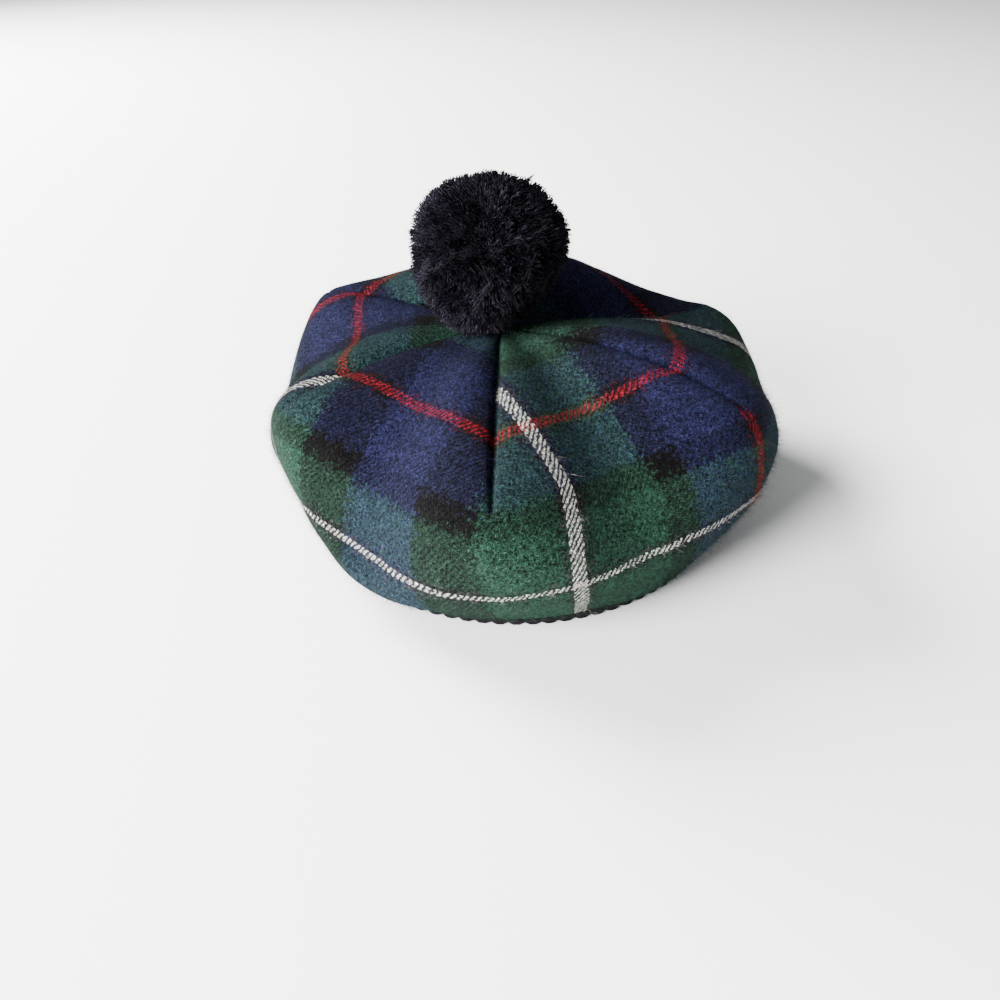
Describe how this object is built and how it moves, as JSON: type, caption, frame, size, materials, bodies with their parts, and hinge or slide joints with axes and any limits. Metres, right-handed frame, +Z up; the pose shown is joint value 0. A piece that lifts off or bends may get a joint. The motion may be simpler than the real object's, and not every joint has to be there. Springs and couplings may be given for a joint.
{
  "type": "tam o shanter",
  "caption": "Tartan wool tam o' shanter: a darted cloth crown gathered onto a knitted rib headband, with a dark cut-yarn pompom sewn on over the apex.",
  "frame": {"origin": "under the middle of the hat's bounding box, in the plane that the headband rests on", "axes": "+Z up through the headband, -Y to the front of the hat, where one seam ends, +X to the viewer's right"},
  "size_m": [0.2306, 0.2384, 0.1488],
  "materials": {
    "tartan_cloth": "brushed wool twill",
    "rib_knit": "ribbed knit",
    "pompom_yarn": "cut yarn"
  },
  "bodies": {
    "root": {"crown": "tartan_cloth", "headband": "rib_knit", "pompom": "pompom_yarn"}
  },
  "joints": []
}
